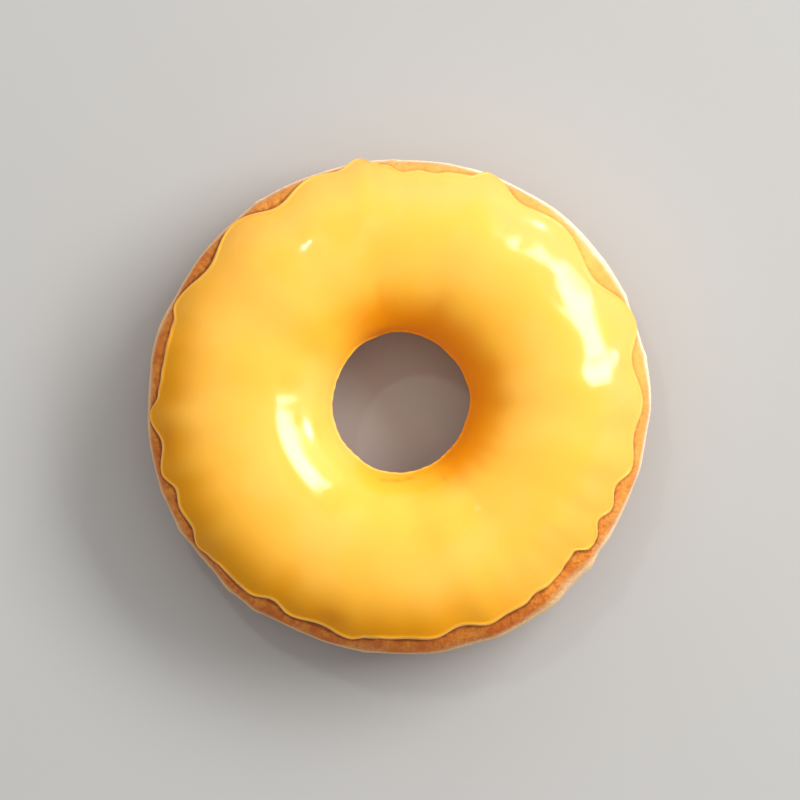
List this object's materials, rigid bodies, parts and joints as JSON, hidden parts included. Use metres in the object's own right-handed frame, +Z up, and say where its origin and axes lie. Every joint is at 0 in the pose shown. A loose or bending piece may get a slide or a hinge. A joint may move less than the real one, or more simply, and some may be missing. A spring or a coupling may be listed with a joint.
{
  "type": "lemon doughnut",
  "caption": "Ring doughnut of raised, fried dough with a smooth coat of lemon icing that ends in drips on its side.",
  "frame": {"origin": "middle of the underside of the box around the doughnut, on the surface that it lies on", "axes": "+Z up along the hole; +X to the right and +Y away from the viewer as the picture looks straight down"},
  "size_m": [0.0958, 0.0944, 0.0317],
  "materials": {
    "dough": "fried golden brown crust with a pale band at the widest line",
    "icing": "smooth set lemon icing with a wet gloss"
  },
  "bodies": {
    "root": {"dough_ring": "dough", "lemon_icing": "icing"}
  },
  "joints": []
}
